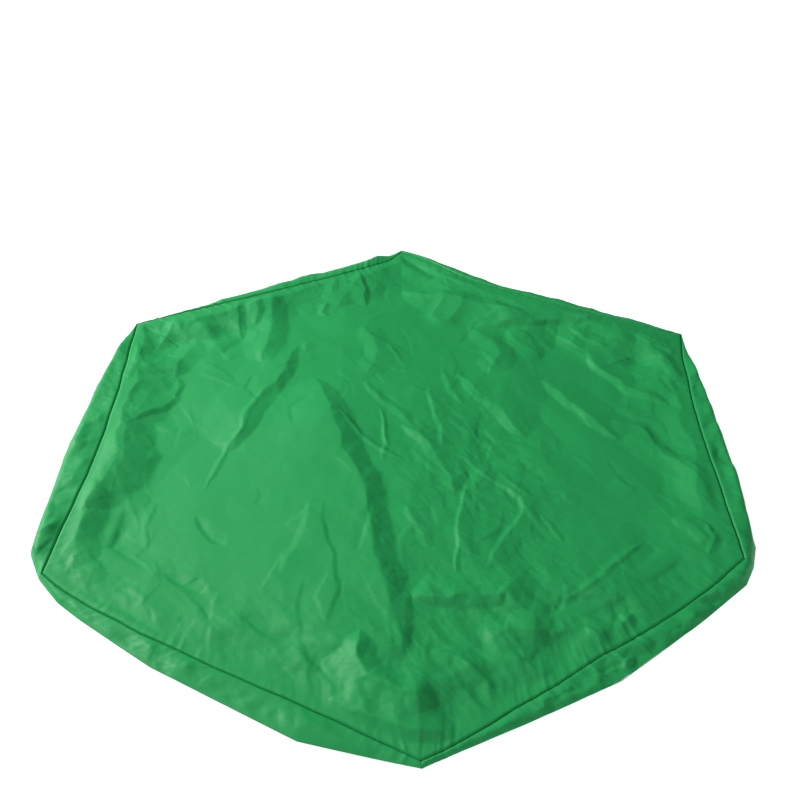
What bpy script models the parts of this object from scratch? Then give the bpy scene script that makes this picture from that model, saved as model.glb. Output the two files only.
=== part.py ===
"""A hexagonal drawcord cover, lying flat with its skirt folded under.

The frame is metres, +Z up. The origin is on the floor under the middle of the cover, +Y points to the
far corner of the hexagon and +X to the middle of its right side. A flat panel is surrounded by a skirt
of sewn strips. The skirt bulges out past the seam, turns under, and ends in a hem that is folded over
a drawcord. The two ends of the cord leave the hem at a slit and pass through a spring cord lock.
"""

import math

import bmesh
import bpy
from mathutils import Matrix, Vector

# Driving dimensions of the cover, in metres.
SIDE = 0.700  # one side of the hexagon, along the seam
APOTHEM = SIDE * math.cos(math.radians(30))
CLOTH = 0.001  # thickness of the cloth
GAP = 0.0003  # between pieces that touch
HEIGHT = 0.040  # of the seam over the floor
ALLOWANCE = 0.010  # cloth turned down inside the seam
BULGE = 0.042  # how far the skirt stands out past the seam, at mid side
CORNER_BULGE = 0.012  # the same at the corners
HEM_APOTHEM = 0.509  # from the centre to the edge of the hem
HEM_WIDTH = 0.022
HEM_HEIGHT = 0.0065
BEND_STEPS = 9  # facets round the skirt's fold
STATIONS = 8  # facets along one side of the skirt

# The drawcord and its slit, on the far right side. Places along a side run from -SIDE/2 to SIDE/2,
# anticlockwise seen from above.
CORD = 0.0035  # diameter
CORD_SIDES = 2  # bevel resolution
HEM_CORNER = 0.030  # radius of the cord's turn at each corner
JOINT_AT = 0.070  # seam between the two strips of the far right side
SLIT_END = 0.155  # the slit runs from the joint to here
LOCK_AT = 0.135  # the line that both ends follow inward
LOCK_APOTHEM = 0.470
LOCK_HEIGHT = 0.009
KNOT = 0.009  # diameter of a knot

# The cord lock, along its own axis from the middle of its cord hole.
BARREL_RADIUS = 0.0090
BORE_RADIUS = 0.0062
BARREL_BACK = -0.0140
BORE_BACK = -0.0120
BARREL_FRONT = 0.0080
PLUNGER_RADIUS = 0.0060
PLUNGER_BACK = -0.0065
PLUNGER_FRONT = 0.0140
HOLE_HALF = 0.0020  # of the barrel's cord hole, along the axis
HOLE_HEIGHT = 0.0084
SLOT_BACK = -0.0020  # the plunger's slot
SLOT_FRONT = 0.0062
POCKET_RADIUS = 0.0036  # holds the spring in the plunger's back
POCKET_DEPTH = 0.0030
SPRING_RADIUS = 0.0029
SPRING_WIRE = 0.0003
SPRING_TURNS = 5
TURN_STEPS = 32

SIDE_ANGLES = {"right": 0, "far_right": 60, "far_left": 120, "left": 180, "near_left": 240, "near_right": 300}

for old in list(bpy.data.objects):
    bpy.data.objects.remove(old, do_unlink=True)

cover = bpy.data.collections.new("hexagon_drawcord_cover")
cutters = bpy.data.collections.new("cutters")
for collection in (cover, cutters):
    bpy.context.scene.collection.children.link(collection)


def make_material(name, colour, roughness, metallic=0.0):
    material = bpy.data.materials.new(name)
    material.use_nodes = True
    shader = material.node_tree.nodes["Principled BSDF"]
    shader.inputs["Base Color"].default_value = (*colour, 1.0)
    shader.inputs["Roughness"].default_value = roughness
    shader.inputs["Metallic"].default_value = metallic
    return material


GREEN_CLOTH = make_material("green_cloth", (0.026, 0.310, 0.095), 0.50)
BLACK_CORD = make_material("black_cord", (0.012, 0.012, 0.012), 0.80)
BLACK_PLASTIC = make_material("black_plastic", (0.015, 0.015, 0.016), 0.40)
SPRING_STEEL = make_material("spring_steel", (0.560, 0.560, 0.550), 0.30, 1.0)


def add_object(name, data, material, collection=cover):
    made = bpy.data.objects.new(name, data)
    if material:
        data.materials.append(material)
    collection.objects.link(made)
    return made


def side_frame(side, apothem=0.0, along=0.0, height=0.0):
    """The matrix of a side's own frame: X outward, Y along the side, Z up, at a place on the side."""
    turn = Matrix.Rotation(math.radians(SIDE_ANGLES[side]), 4, "Z")
    return turn @ Matrix.Translation((apothem, along, height))


# ---- top panel ----------------------------------------------------------------------------------


def make_top_panel():
    """A flat hexagon whose edge is turned down inside the seam."""
    mesh = bpy.data.meshes.new("top_panel")
    shape = bmesh.new()
    bmesh.ops.create_circle(shape, segments=6, radius=SIDE, cap_ends=True)
    bmesh.ops.translate(shape, verts=shape.verts, vec=(0, 0, HEIGHT))
    rim = bmesh.ops.extrude_edge_only(shape, edges=shape.edges[:])
    lower = [v for v in rim["geom"] if isinstance(v, bmesh.types.BMVert)]
    bmesh.ops.translate(shape, verts=lower, vec=(0, 0, -ALLOWANCE))
    bmesh.ops.recalc_face_normals(shape, faces=shape.faces)
    if max(shape.faces, key=lambda f: f.calc_area()).normal.z < 0:
        bmesh.ops.reverse_faces(shape, faces=shape.faces)
    shape.to_mesh(mesh)
    shape.free()
    panel = add_object("top_panel", mesh, GREEN_CLOTH)
    cloth = panel.modifiers.new("cloth", "SOLIDIFY")
    cloth.thickness = CLOTH
    cloth.offset = -1
    cloth.use_even_offset = True


# ---- skirt --------------------------------------------------------------------------------------


def skirt_outline(bulge):
    """The skirt's cross-section as points (distance from the centre, height), one closed line."""
    edge = APOTHEM + GAP
    middle = HEIGHT / 2
    points = []
    for step in range(BEND_STEPS + 1):
        angle = math.pi / 2 - math.pi * step / BEND_STEPS
        points.append((edge + bulge * math.cos(angle), middle + middle * math.sin(angle)))
    hem_back = HEM_APOTHEM + HEM_WIDTH
    points += [
        (HEM_APOTHEM, 0),
        (HEM_APOTHEM, HEM_HEIGHT),
        (hem_back, HEM_HEIGHT),
        (hem_back, CLOTH + GAP),
        (hem_back - CLOTH, CLOTH + GAP),
        (hem_back - CLOTH, HEM_HEIGHT - CLOTH),
        (HEM_APOTHEM + CLOTH, HEM_HEIGHT - CLOTH),
        (HEM_APOTHEM + CLOTH, CLOTH),
    ]
    last = math.acos(CLOTH / (bulge - CLOTH))
    for step in range(BEND_STEPS + 1):
        angle = -math.pi / 2 + (math.pi / 2 + last) * step / BEND_STEPS
        inner = (bulge - CLOTH, middle - CLOTH)
        points.append((edge + inner[0] * math.cos(angle), middle + inner[1] * math.sin(angle)))
    points += [(edge + CLOTH, HEIGHT - ALLOWANCE), (edge, HEIGHT - ALLOWANCE)]
    return points


def make_skirt_strip(name, side, start, end):
    """One strip of the skirt, lofted from place start to place end, each from -1 to 1 along the side."""
    mesh = bpy.data.meshes.new(name)
    shape = bmesh.new()
    count = max(2, round(STATIONS * (end - start) / 2))
    rings = []
    for station in range(count + 1):
        place = start + (end - start) * station / count
        bulge = CORNER_BULGE + (BULGE - CORNER_BULGE) * (1 - abs(place) ** 3)
        clear = {0: GAP / 2, count: -GAP / 2}.get(station, 0)
        across = math.tan(math.radians(30)) * place
        ring = [shape.verts.new((r, r * across + clear, z)) for r, z in skirt_outline(bulge)]
        rings.append(ring)
    for near, far in zip(rings, rings[1:]):
        for i in range(len(near)):
            after = (i + 1) % len(near)
            shape.faces.new((near[i], near[after], far[after], far[i]))
    shape.faces.new(rings[0])
    shape.faces.new(rings[-1])
    bmesh.ops.recalc_face_normals(shape, faces=shape.faces)
    shape.to_mesh(mesh)
    shape.free()
    strip = add_object(name, mesh, GREEN_CLOTH)
    strip.matrix_world = side_frame(side)
    return strip


def cut(target, cutter):
    cutter.hide_render = True
    cutter.display_type = "WIRE"
    boolean = target.modifiers.new("cut_" + cutter.name, "BOOLEAN")
    boolean.object = cutter


def box_cutter(name, size, place):
    mesh = bpy.data.meshes.new(name)
    shape = bmesh.new()
    bmesh.ops.create_cube(shape, matrix=Matrix.Diagonal((*size, 1)))
    shape.to_mesh(mesh)
    shape.free()
    cutter = add_object(name, mesh, None, cutters)
    cutter.matrix_world = place
    return cutter


def make_skirt():
    for side in SIDE_ANGLES:
        if side != "far_right":
            make_skirt_strip("skirt_" + side, side, -1, 1)
    joint = JOINT_AT / (SIDE / 2)
    make_skirt_strip("skirt_far_right_long", "far_right", -1, joint)
    short = make_skirt_strip("skirt_far_right_short", "far_right", joint, 1)
    # The hem is left open from the joint to the end of the slit.
    spare = 0.020
    size = (HEM_WIDTH + spare, SLIT_END - JOINT_AT + spare, HEM_HEIGHT + spare)
    middle = side_frame(
        "far_right", HEM_APOTHEM + HEM_WIDTH + GAP - size[0] / 2, SLIT_END - size[1] / 2, HEM_HEIGHT / 2
    )
    cut(short, box_cutter("slit_cutter", size, middle))


# ---- drawcord -----------------------------------------------------------------------------------


def tube(name, points, diameter, material):
    """A round cord or wire through the points, with closed ends."""
    data = bpy.data.curves.new(name, "CURVE")
    data.dimensions = "3D"
    data.bevel_depth = diameter / 2
    data.bevel_resolution = CORD_SIDES
    data.use_fill_caps = True
    spline = data.splines.new("POLY")
    spline.points.add(len(points) - 1)
    for point, place in zip(spline.points, points):
        point.co = (*place, 1)
    return add_object(name, data, material)


def smooth_route(points, spacing):
    """Evenly spaced points on a Catmull-Rom curve through the given points."""
    points = [Vector(p) for p in points]
    padded = [2 * points[0] - points[1], *points, 2 * points[-1] - points[-2]]
    fine = []
    parts = 24
    for a, b, c, d in zip(padded, padded[1:], padded[2:], padded[3:]):
        for part in range(parts):
            t = part / parts
            fine.append(
                (2 * b + (c - a) * t + (2 * a - 5 * b + 4 * c - d) * t**2 + (3 * b - a - 3 * c + d) * t**3) / 2
            )
    fine.append(points[-1])
    reached = [0.0]
    for a, b in zip(fine, fine[1:]):
        reached.append(reached[-1] + (b - a).length)
    count = max(2, round(reached[-1] / spacing))
    route, at = [], 0
    for k in range(count + 1):
        wanted = reached[-1] * k / count
        while at < len(fine) - 2 and reached[at + 1] < wanted:
            at += 1
        share = (wanted - reached[at]) / (reached[at + 1] - reached[at])
        route.append(fine[at].lerp(fine[at + 1], share))
    return route


CORD_LINE = HEM_APOTHEM + HEM_WIDTH / 2  # the cord's distance from the centre inside the hem
CORD_HEIGHT = HEM_HEIGHT / 2


def make_drawcord_loop():
    """The cord inside the hem, from one side of the slit right round to the other."""
    corner_half = (CORD_LINE - HEM_CORNER) * math.tan(math.radians(30))
    arc_steps = 5
    points = [side_frame("far_right", CORD_LINE, SLIT_END, CORD_HEIGHT).translation]
    for number in range(6):
        angle = math.radians(60 * (number + 1))
        centre = Matrix.Rotation(angle, 3, "Z") @ Vector((CORD_LINE - HEM_CORNER, corner_half, CORD_HEIGHT))
        for step in range(arc_steps + 1):
            out = angle + math.radians(60 * step / arc_steps)
            points.append(centre + HEM_CORNER * Vector((math.cos(out), math.sin(out), 0)))
    points.append(side_frame("far_right", CORD_LINE, JOINT_AT - GAP, CORD_HEIGHT).translation)
    tube("drawcord_loop", points, CORD, BLACK_CORD)


# Each end's route from the hem: (distance from the centre, place along the far right side, height).
LEFT_END_ROUTE = [
    (0.5200, 0.0703, 0.00325),
    (0.5200, 0.0780, 0.00310),
    (0.5198, 0.0880, 0.00270),
    (0.5194, 0.0980, 0.00230),
    (0.5180, 0.1085, 0.00220),
    (0.5135, 0.1200, 0.00260),
    (0.5060, 0.1290, 0.00380),
    (0.4970, 0.1340, 0.00560),
    (0.4880, 0.1350, 0.00690),
    (0.4790, 0.1350, 0.00710),
    (0.4650, 0.1350, 0.00710),
    (0.4480, 0.1350, 0.00710),
    (0.4300, 0.1350, 0.00710),
    (0.4130, 0.1350, 0.00700),
    (0.4010, 0.1346, 0.00600),
    (0.3900, 0.1335, 0.00420),
    (0.3790, 0.1310, 0.00260),
    (0.3680, 0.1275, 0.00210),
    (0.3580, 0.1240, 0.00300),
    (0.3500, 0.1213, 0.00420),
]
RIGHT_END_ROUTE = [
    (0.5200, 0.1547, 0.00325),
    (0.5199, 0.1510, 0.00345),
    (0.5190, 0.1465, 0.00420),
    (0.5160, 0.1420, 0.00560),
    (0.5105, 0.1380, 0.00780),
    (0.5030, 0.1358, 0.00980),
    (0.4950, 0.1351, 0.01070),
    (0.4870, 0.1350, 0.01090),
    (0.4780, 0.1350, 0.01090),
    (0.4650, 0.1350, 0.01090),
    (0.4480, 0.1350, 0.01090),
    (0.4300, 0.1350, 0.01090),
    (0.4130, 0.1352, 0.01080),
    (0.4000, 0.1362, 0.00990),
    (0.3890, 0.1385, 0.00780),
    (0.3790, 0.1418, 0.00480),
    (0.3700, 0.1452, 0.00260),
    (0.3610, 0.1485, 0.00215),
    (0.3520, 0.1515, 0.00300),
    (0.3440, 0.1540, 0.00420),
]


def make_drawcord_end(name, route):
    """One free end of the cord, and the knot that stops the lock from coming off it."""
    to_world = side_frame("far_right")
    points = [to_world @ Vector(p) for p in route]
    tube(name + "_end", smooth_route(points, 1.5 * CORD), CORD, BLACK_CORD)
    ahead = (points[-1] - points[-2]).normalized()
    mesh = bpy.data.meshes.new(name + "_knot")
    shape = bmesh.new()
    bmesh.ops.create_uvsphere(shape, u_segments=14, v_segments=8, radius=KNOT / 2)
    shape.to_mesh(mesh)
    shape.free()
    knot = add_object(name + "_knot", mesh, BLACK_CORD)
    middle = points[-1] + ahead * (KNOT / 2 + GAP)
    middle.z = KNOT / 2 + GAP / 3
    knot.location = middle
    mesh.shade_smooth()


# ---- cord lock ----------------------------------------------------------------------------------


def turned(name, profile, material, collection=cover):
    """A turned solid on its own Z axis, from (radius, place) points down its outer side."""
    mesh = bpy.data.meshes.new(name)
    shape = bmesh.new()
    verts = [shape.verts.new((radius, 0, place)) for radius, place in profile]
    for a, b in zip(verts, verts[1:]):
        shape.edges.new((a, b))
    shape.to_mesh(mesh)
    shape.free()
    made = add_object(name, mesh, material, collection)
    screw = made.modifiers.new("turn", "SCREW")
    screw.steps = TURN_STEPS
    screw.render_steps = TURN_STEPS
    screw.use_merge_vertices = True
    screw.merge_threshold = 0.00001
    return made


def lock_frame():
    """The cord lock's frame: Z along its axis, towards the far corner, X inward, Y up."""
    place = side_frame("far_right", LOCK_APOTHEM, LOCK_AT, LOCK_HEIGHT)
    axes = Matrix(((-1, 0, 0, 0), (0, 0, 1, 0), (0, 1, 0, 0), (0, 0, 0, 1)))
    return place @ axes


def make_cord_lock():
    frame = lock_frame()
    edge = 0.0012
    barrel = turned(
        "cord_lock_barrel",
        [
            (0, BORE_BACK),
            (BORE_RADIUS, BORE_BACK),
            (BORE_RADIUS, BARREL_FRONT),
            (BARREL_RADIUS - edge / 2, BARREL_FRONT),
            (BARREL_RADIUS, BARREL_FRONT - edge / 2),
            (BARREL_RADIUS, BARREL_FRONT - 0.0030),
            (BARREL_RADIUS - 0.0008, BARREL_FRONT - 0.0036),
            (BARREL_RADIUS - 0.0008, BARREL_BACK + 0.0030),
            (BARREL_RADIUS - 0.0011, BARREL_BACK + 0.0014),
            (BARREL_RADIUS - 0.0019, BARREL_BACK + 0.0005),
            (BARREL_RADIUS - 0.0034, BARREL_BACK),
            (0, BARREL_BACK),
        ],
        BLACK_PLASTIC,
    )
    barrel.matrix_world = frame
    hole_length = 0.030
    cut(barrel, box_cutter("barrel_hole_cutter", (hole_length, HOLE_HEIGHT, 2 * HOLE_HALF), frame))

    plunger = turned(
        "cord_lock_plunger",
        [
            (0, PLUNGER_FRONT),
            (PLUNGER_RADIUS - 0.0018, PLUNGER_FRONT - 0.0001),
            (PLUNGER_RADIUS - 0.0005, PLUNGER_FRONT - 0.0006),
            (PLUNGER_RADIUS, PLUNGER_FRONT - 0.0018),
            (PLUNGER_RADIUS, PLUNGER_BACK),
            (POCKET_RADIUS, PLUNGER_BACK),
            (POCKET_RADIUS, PLUNGER_BACK + POCKET_DEPTH),
            (0, PLUNGER_BACK + POCKET_DEPTH),
        ],
        BLACK_PLASTIC,
    )
    plunger.matrix_world = frame
    slot = Matrix.Translation((0, 0, (SLOT_BACK + SLOT_FRONT) / 2))
    size = (hole_length, HOLE_HEIGHT, SLOT_FRONT - SLOT_BACK)
    cut(plunger, box_cutter("plunger_slot_cutter", size, frame @ slot))

    low = BORE_BACK + SPRING_WIRE + GAP
    high = PLUNGER_BACK + POCKET_DEPTH - SPRING_WIRE - GAP
    steps = 12 * SPRING_TURNS
    points = []
    for step in range(steps + 1):
        angle = 2 * math.pi * SPRING_TURNS * step / steps
        place = low + (high - low) * step / steps
        points.append((SPRING_RADIUS * math.cos(angle), SPRING_RADIUS * math.sin(angle), place))
    spring = tube("cord_lock_spring", points, 2 * SPRING_WIRE, SPRING_STEEL)
    spring.matrix_world = frame


make_top_panel()
make_skirt()
make_drawcord_loop()
make_drawcord_end("drawcord_left", LEFT_END_ROUTE)
make_drawcord_end("drawcord_right", RIGHT_END_ROUTE)
make_cord_lock()
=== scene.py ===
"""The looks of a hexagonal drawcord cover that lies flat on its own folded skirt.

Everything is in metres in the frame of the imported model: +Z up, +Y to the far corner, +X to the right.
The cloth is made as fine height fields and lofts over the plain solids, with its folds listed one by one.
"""

import math

import bpy
import numpy as np
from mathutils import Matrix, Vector


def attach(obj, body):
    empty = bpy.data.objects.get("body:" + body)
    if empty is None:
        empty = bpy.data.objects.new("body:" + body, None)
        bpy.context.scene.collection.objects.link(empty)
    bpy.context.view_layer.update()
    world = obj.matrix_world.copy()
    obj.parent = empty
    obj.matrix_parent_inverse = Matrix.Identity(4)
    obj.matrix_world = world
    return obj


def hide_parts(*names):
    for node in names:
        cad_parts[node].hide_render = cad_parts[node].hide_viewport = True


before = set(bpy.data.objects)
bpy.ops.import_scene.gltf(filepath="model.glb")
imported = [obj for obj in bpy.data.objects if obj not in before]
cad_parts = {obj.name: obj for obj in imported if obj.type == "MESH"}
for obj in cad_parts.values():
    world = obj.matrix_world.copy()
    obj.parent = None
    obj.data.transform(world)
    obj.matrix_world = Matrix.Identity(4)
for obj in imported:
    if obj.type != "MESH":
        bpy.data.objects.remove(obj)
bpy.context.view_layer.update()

MM = 0.001
RNG = np.random.default_rng(7)

# ---- camera, lights and floor --------------------------------------------------------------------

LENS = 44.7
CAMERA_PLACE = (-0.007, -1.470, 1.348)
CAMERA_TILT = 50.2


def make_camera():
    data = bpy.data.cameras.new("camera")
    data.lens = LENS
    data.sensor_width = 36
    data.clip_start = 0.01
    camera = bpy.data.objects.new("camera", data)
    camera.location = CAMERA_PLACE
    camera.rotation_euler = (math.radians(CAMERA_TILT), 0, 0)
    bpy.context.scene.collection.objects.link(camera)
    bpy.context.scene.camera = camera


def area_light(name, place, aim, size, power):
    data = bpy.data.lights.new(name, "AREA")
    data.shape = "RECTANGLE"
    data.size, data.size_y = size
    data.energy = power
    light = bpy.data.objects.new(name, data)
    light.location = place
    light.rotation_euler = (Vector(aim) - Vector(place)).to_track_quat("-Z", "Y").to_euler()
    bpy.context.scene.collection.objects.link(light)


def make_stage():
    world = bpy.data.worlds.new("studio")
    bpy.context.scene.world = world
    world.use_nodes = True
    background = world.node_tree.nodes["Background"]
    background.inputs["Color"].default_value = (1, 1, 1, 1)
    background.inputs["Strength"].default_value = 0.10
    area_light("left_softbox", (-3.05, 1.0, 2.05), (0, 0, 0), (1.9, 1.1), 196)
    area_light("back_left_softbox", (-1.9, 2.7, 2.1), (0, 0.1, 0), (1.1, 0.8), 9)
    area_light("right_softbox", (3.6, -0.6, 1.2), (0, 0, 0), (1.4, 0.8), 8)
    area_light("overhead", (0.0, -0.2, 3.2), (0, 0, 0), (2.4, 2.4), 12)
    area_light("front_fill", (0.9, -3.1, 1.9), (0, 0, 0), (2.0, 1.0), 26)

    bpy.ops.mesh.primitive_plane_add(size=24)
    floor = bpy.context.object
    floor.name = "studio_floor"
    material = bpy.data.materials.new("studio_white")
    material.use_nodes = True
    sockets = material.node_tree.nodes["Principled BSDF"].inputs
    sockets["Base Color"].default_value = (0.50, 0.50, 0.50, 1)
    sockets["Roughness"].default_value = 0.9
    sockets["Specular IOR Level"].default_value = 0.1
    sockets["Emission Color"].default_value = (1, 1, 1, 1)
    sockets["Emission Strength"].default_value = 0.86
    floor.data.materials.append(material)
    bpy.context.scene.view_settings.view_transform = "Standard"


make_camera()
make_stage()

# ---- materials ------------------------------------------------------------------------------------


class Nodes:
    """Short calls for building a material's node tree."""

    def __init__(self, name):
        self.material = bpy.data.materials.new(name)
        self.material.use_nodes = True
        self.tree = self.material.node_tree
        self.shader = self.tree.nodes["Principled BSDF"]
        self.place = self.add("ShaderNodeTexCoord").outputs["Object"]

    def add(self, kind, **values):
        node = self.tree.nodes.new(kind)
        for key, value in values.items():
            if key in node.inputs:
                node.inputs[key].default_value = value
            else:
                setattr(node, key, value)
        return node

    def link(self, source, target):
        self.tree.links.new(source, target)
        return target

    def noise(self, scale, detail=3.0, rough=0.5, vector=None):
        node = self.add("ShaderNodeTexNoise", Scale=scale, Detail=detail, Roughness=rough)
        self.link(self.place if vector is None else vector, node.inputs["Vector"])
        return node.outputs["Fac"]

    def math(self, operation, a, b=None):
        node = self.add("ShaderNodeMath", operation=operation)
        for socket, value in zip(node.inputs, (a, b)):
            if value is None:
                continue
            if isinstance(value, (int, float)):
                socket.default_value = value
            else:
                self.link(value, socket)
        return node.outputs[0]

    def spread(self, value, low, high):
        """value from 0..1 to low..high."""
        node = self.add("ShaderNodeMapRange")
        node.inputs["To Min"].default_value = low
        node.inputs["To Max"].default_value = high
        self.link(value, node.inputs["Value"])
        return node.outputs["Result"]

    def blend_colours(self, factor, a, b):
        node = self.add("ShaderNodeMix", data_type="RGBA")
        self.link(factor, node.inputs["Factor"])
        for socket, colour in ((node.inputs[6], a), (node.inputs[7], b)):
            if isinstance(colour, tuple):
                socket.default_value = (*colour, 1)
            else:
                self.link(colour, socket)
        return node.outputs[2]

    def bump(self, height, strength, distance, normal=None):
        node = self.add("ShaderNodeBump", Strength=strength, Distance=distance)
        self.link(height, node.inputs["Height"])
        if normal:
            self.link(normal, node.inputs["Normal"])
        return node.outputs["Normal"]

    def set(self, **values):
        """Shader values: numbers, or outputs that are linked to them."""
        for key, value in values.items():
            socket = self.shader.inputs[key.replace("_", " ")]
            if isinstance(value, float):
                socket.default_value = value
            else:
                self.link(value, socket)


WEAVE = 0.0009  # one wave of the weave, in metres


def weave(nodes):
    """The height of a plain weave, from crossed waves along X and Y."""
    split = nodes.add("ShaderNodeSeparateXYZ")
    nodes.link(nodes.place, split.inputs[0])
    turn = math.tau / WEAVE
    waves = []
    for axis in (0, 1):
        angle = nodes.math("MULTIPLY", split.outputs[axis], turn)
        waves.append(nodes.math("SINE", angle))
    product = nodes.math("MULTIPLY", waves[0], waves[1])
    return nodes.math("MULTIPLY_ADD", product, 0.5)


def hairlines(nodes, scale, turn, seed, normal):
    """Fine crease lines: the edges of drawn-out cells, there only in patches."""
    mapped = nodes.add("ShaderNodeMapping")
    mapped.inputs["Location"].default_value = (seed, seed, 0)
    mapped.inputs["Rotation"].default_value = (0, 0, turn)
    mapped.inputs["Scale"].default_value = (0.28, 1.0, 1.0)
    nodes.link(nodes.place, mapped.inputs["Vector"])
    warp = nodes.add("ShaderNodeTexNoise", Scale=scale * 0.6, Detail=2.0)
    nodes.link(mapped.outputs[0], warp.inputs["Vector"])
    push = nodes.add("ShaderNodeVectorMath", operation="MULTIPLY_ADD")
    nodes.link(warp.outputs["Color"], push.inputs[0])
    push.inputs[1].default_value = (0.7 / scale,) * 3
    nodes.link(mapped.outputs[0], push.inputs[2])
    cells = nodes.add("ShaderNodeTexVoronoi", feature="DISTANCE_TO_EDGE", Scale=scale)
    nodes.link(push.outputs[0], cells.inputs["Vector"])
    line = nodes.add("ShaderNodeMapRange", interpolation_type="SMOOTHSTEP")
    line.inputs["From Max"].default_value = 0.03 + 0.0011 * scale
    nodes.link(cells.outputs["Distance"], line.inputs["Value"])
    patch = nodes.add("ShaderNodeMapRange")
    patch.inputs["From Min"].default_value = 0.50
    patch.inputs["From Max"].default_value = 0.62
    nodes.link(nodes.noise(7.0, 2.0, vector=mapped.outputs[0]), patch.inputs["Value"])
    height = nodes.math("MULTIPLY", line.outputs[0], patch.outputs[0])
    return nodes.bump(height, 0.22, 0.0006, normal)


def green_cloth_material():
    nodes = Nodes("green_oxford_cloth")
    cloud = nodes.noise(5.0, 3.0)
    mottle = nodes.noise(90.0, 2.0)
    shade = nodes.blend_colours(cloud, (0.013, 0.292, 0.077), (0.016, 0.324, 0.088))
    speck = nodes.blend_colours(nodes.spread(mottle, 0.0, 0.2), shade, (0.010, 0.250, 0.063))
    rough = nodes.spread(nodes.noise(30.0), 0.46, 0.60)
    soft = nodes.bump(nodes.noise(60.0, 4.0, 0.55), 0.20, 0.0010)
    creased = soft
    for scale, turn, seed in ((26.0, 1.1, 0.0), (44.0, 0.7, 3.0)):
        creased = hairlines(nodes, scale, turn, seed, creased)
    threads = nodes.bump(weave(nodes), 0.25, 0.0001, creased)
    nodes.set(Base_Color=speck, Roughness=rough, Normal=threads, Specular_IOR_Level=0.22)
    return nodes.material


def silver_coating_material():
    nodes = Nodes("silver_coating")
    cloud = nodes.noise(12.0, 4.0)
    shade = nodes.blend_colours(cloud, (0.50, 0.52, 0.54), (0.60, 0.62, 0.635))
    rough = nodes.spread(nodes.noise(40.0), 0.32, 0.46)
    soft = nodes.bump(nodes.noise(60.0, 4.0), 0.3, 0.0010)
    threads = nodes.bump(weave(nodes), 0.12, 0.0001, soft)
    nodes.set(Base_Color=shade, Roughness=rough, Normal=threads, Metallic=0.35, Specular_IOR_Level=0.6)
    return nodes.material


def thread_material(name, colour, rough, twist, sheen=0.2):
    """Sewing thread, or the yarn of a cord: twisted fibres."""
    nodes = Nodes(name)
    darker = tuple(0.65 * c for c in colour)
    shade = nodes.blend_colours(nodes.noise(220.0), darker, colour)
    fibres = nodes.add("ShaderNodeTexWave", Scale=twist, Distortion=3.0, Detail=2.0)
    fibres.bands_direction = "DIAGONAL"
    nodes.link(nodes.place, fibres.inputs["Vector"])
    relief = nodes.bump(fibres.outputs["Fac"], 0.5, 0.00012)
    fuzz = nodes.spread(nodes.noise(900.0, 2.0), rough - 0.08, rough + 0.08)
    nodes.set(Base_Color=shade, Normal=relief, Roughness=fuzz)
    nodes.set(Sheen_Weight=sheen, Sheen_Roughness=0.4, Specular_IOR_Level=0.35)
    return nodes.material


def plastic_material():
    """Moulded black plastic with a fine spark-eroded texture and a few rubbed places."""
    nodes = Nodes("black_moulded_plastic")
    shade = nodes.blend_colours(nodes.noise(300.0), (0.011, 0.011, 0.012), (0.020, 0.020, 0.021))
    rubbed = nodes.spread(nodes.noise(140.0, 4.0), 0.34, 0.56)
    grain = nodes.bump(nodes.noise(2600.0, 3.0, 0.6), 0.35, 0.00006)
    nodes.set(Base_Color=shade, Roughness=rubbed, Normal=grain, Specular_IOR_Level=0.5)
    return nodes.material


def spring_material():
    """Drawn spring wire: fine lines along it, brighter where it is worn."""
    nodes = Nodes("drawn_spring_wire")
    cloud = nodes.noise(700.0)
    shade = nodes.blend_colours(cloud, (0.42, 0.41, 0.39), (0.62, 0.61, 0.60))
    drawn = nodes.bump(nodes.noise(5000.0), 0.2, 0.00002)
    nodes.set(Base_Color=shade, Roughness=nodes.spread(cloud, 0.22, 0.38), Normal=drawn, Metallic=1.0)
    return nodes.material


GREEN = green_cloth_material()
SILVER = silver_coating_material()
THREAD = thread_material("green_polyester_thread", (0.010, 0.210, 0.060), 0.6, 900.0)
CORD_YARN = thread_material("black_braided_polyester", (0.016, 0.016, 0.017), 0.62, 700.0, 0.3)
PLASTIC = plastic_material()
SPRING = spring_material()
LOCK_MATERIALS = {"cord_lock_barrel": PLASTIC, "cord_lock_plunger": PLASTIC, "cord_lock_spring": SPRING}
for node, material in LOCK_MATERIALS.items():
    for holder in bpy.data.objects[node].material_slots:
        holder.material = material

# ---- the drawcord ---------------------------------------------------------------------------------------

CORD = 0.0035  # diameter
FAR_RIGHT = math.radians(60)  # the direction of the far right side's middle
# Each end's route from the hem: millimetres from the centre, along the far right side, and up.
LEFT_END_ROUTE = [
    (520, 70.3, 3.25), (520, 78, 3.1), (519.8, 88, 2.7), (519.4, 98, 2.3), (518, 108.5, 2.2),
    (513.5, 120, 2.6), (506, 129, 3.8), (497, 134, 5.6), (488, 135, 6.9), (479, 135, 7.1), (465, 135, 7.1),
    (448, 135, 7.1), (430, 135, 7.1), (413, 135, 7), (401, 134.6, 6), (390, 133.5, 4.2), (379, 131, 2.6),
    (368, 127.5, 2.1), (358, 124, 3), (350, 121.3, 4.2),
]
RIGHT_END_ROUTE = [
    (520, 154.7, 3.25), (519.9, 151, 3.45), (519, 146.5, 4.2), (516, 142, 5.6), (510.5, 138, 7.8),
    (503, 135.8, 9.8), (495, 135.1, 10.7), (487, 135, 10.9), (478, 135, 10.9), (465, 135, 10.9),
    (448, 135, 10.9), (430, 135, 10.9), (413, 135.2, 10.8), (400, 136.2, 9.9), (389, 138.5, 7.8),
    (379, 141.8, 4.8), (370, 145.2, 2.6), (361, 148.5, 2.15), (352, 151.5, 3), (344, 154, 4.2),
]


def length_so_far(points):
    """Each point's distance from the first along a line of points."""
    return np.concatenate(([0], np.cumsum(np.linalg.norm(np.diff(points, axis=0), axis=1))))


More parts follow.
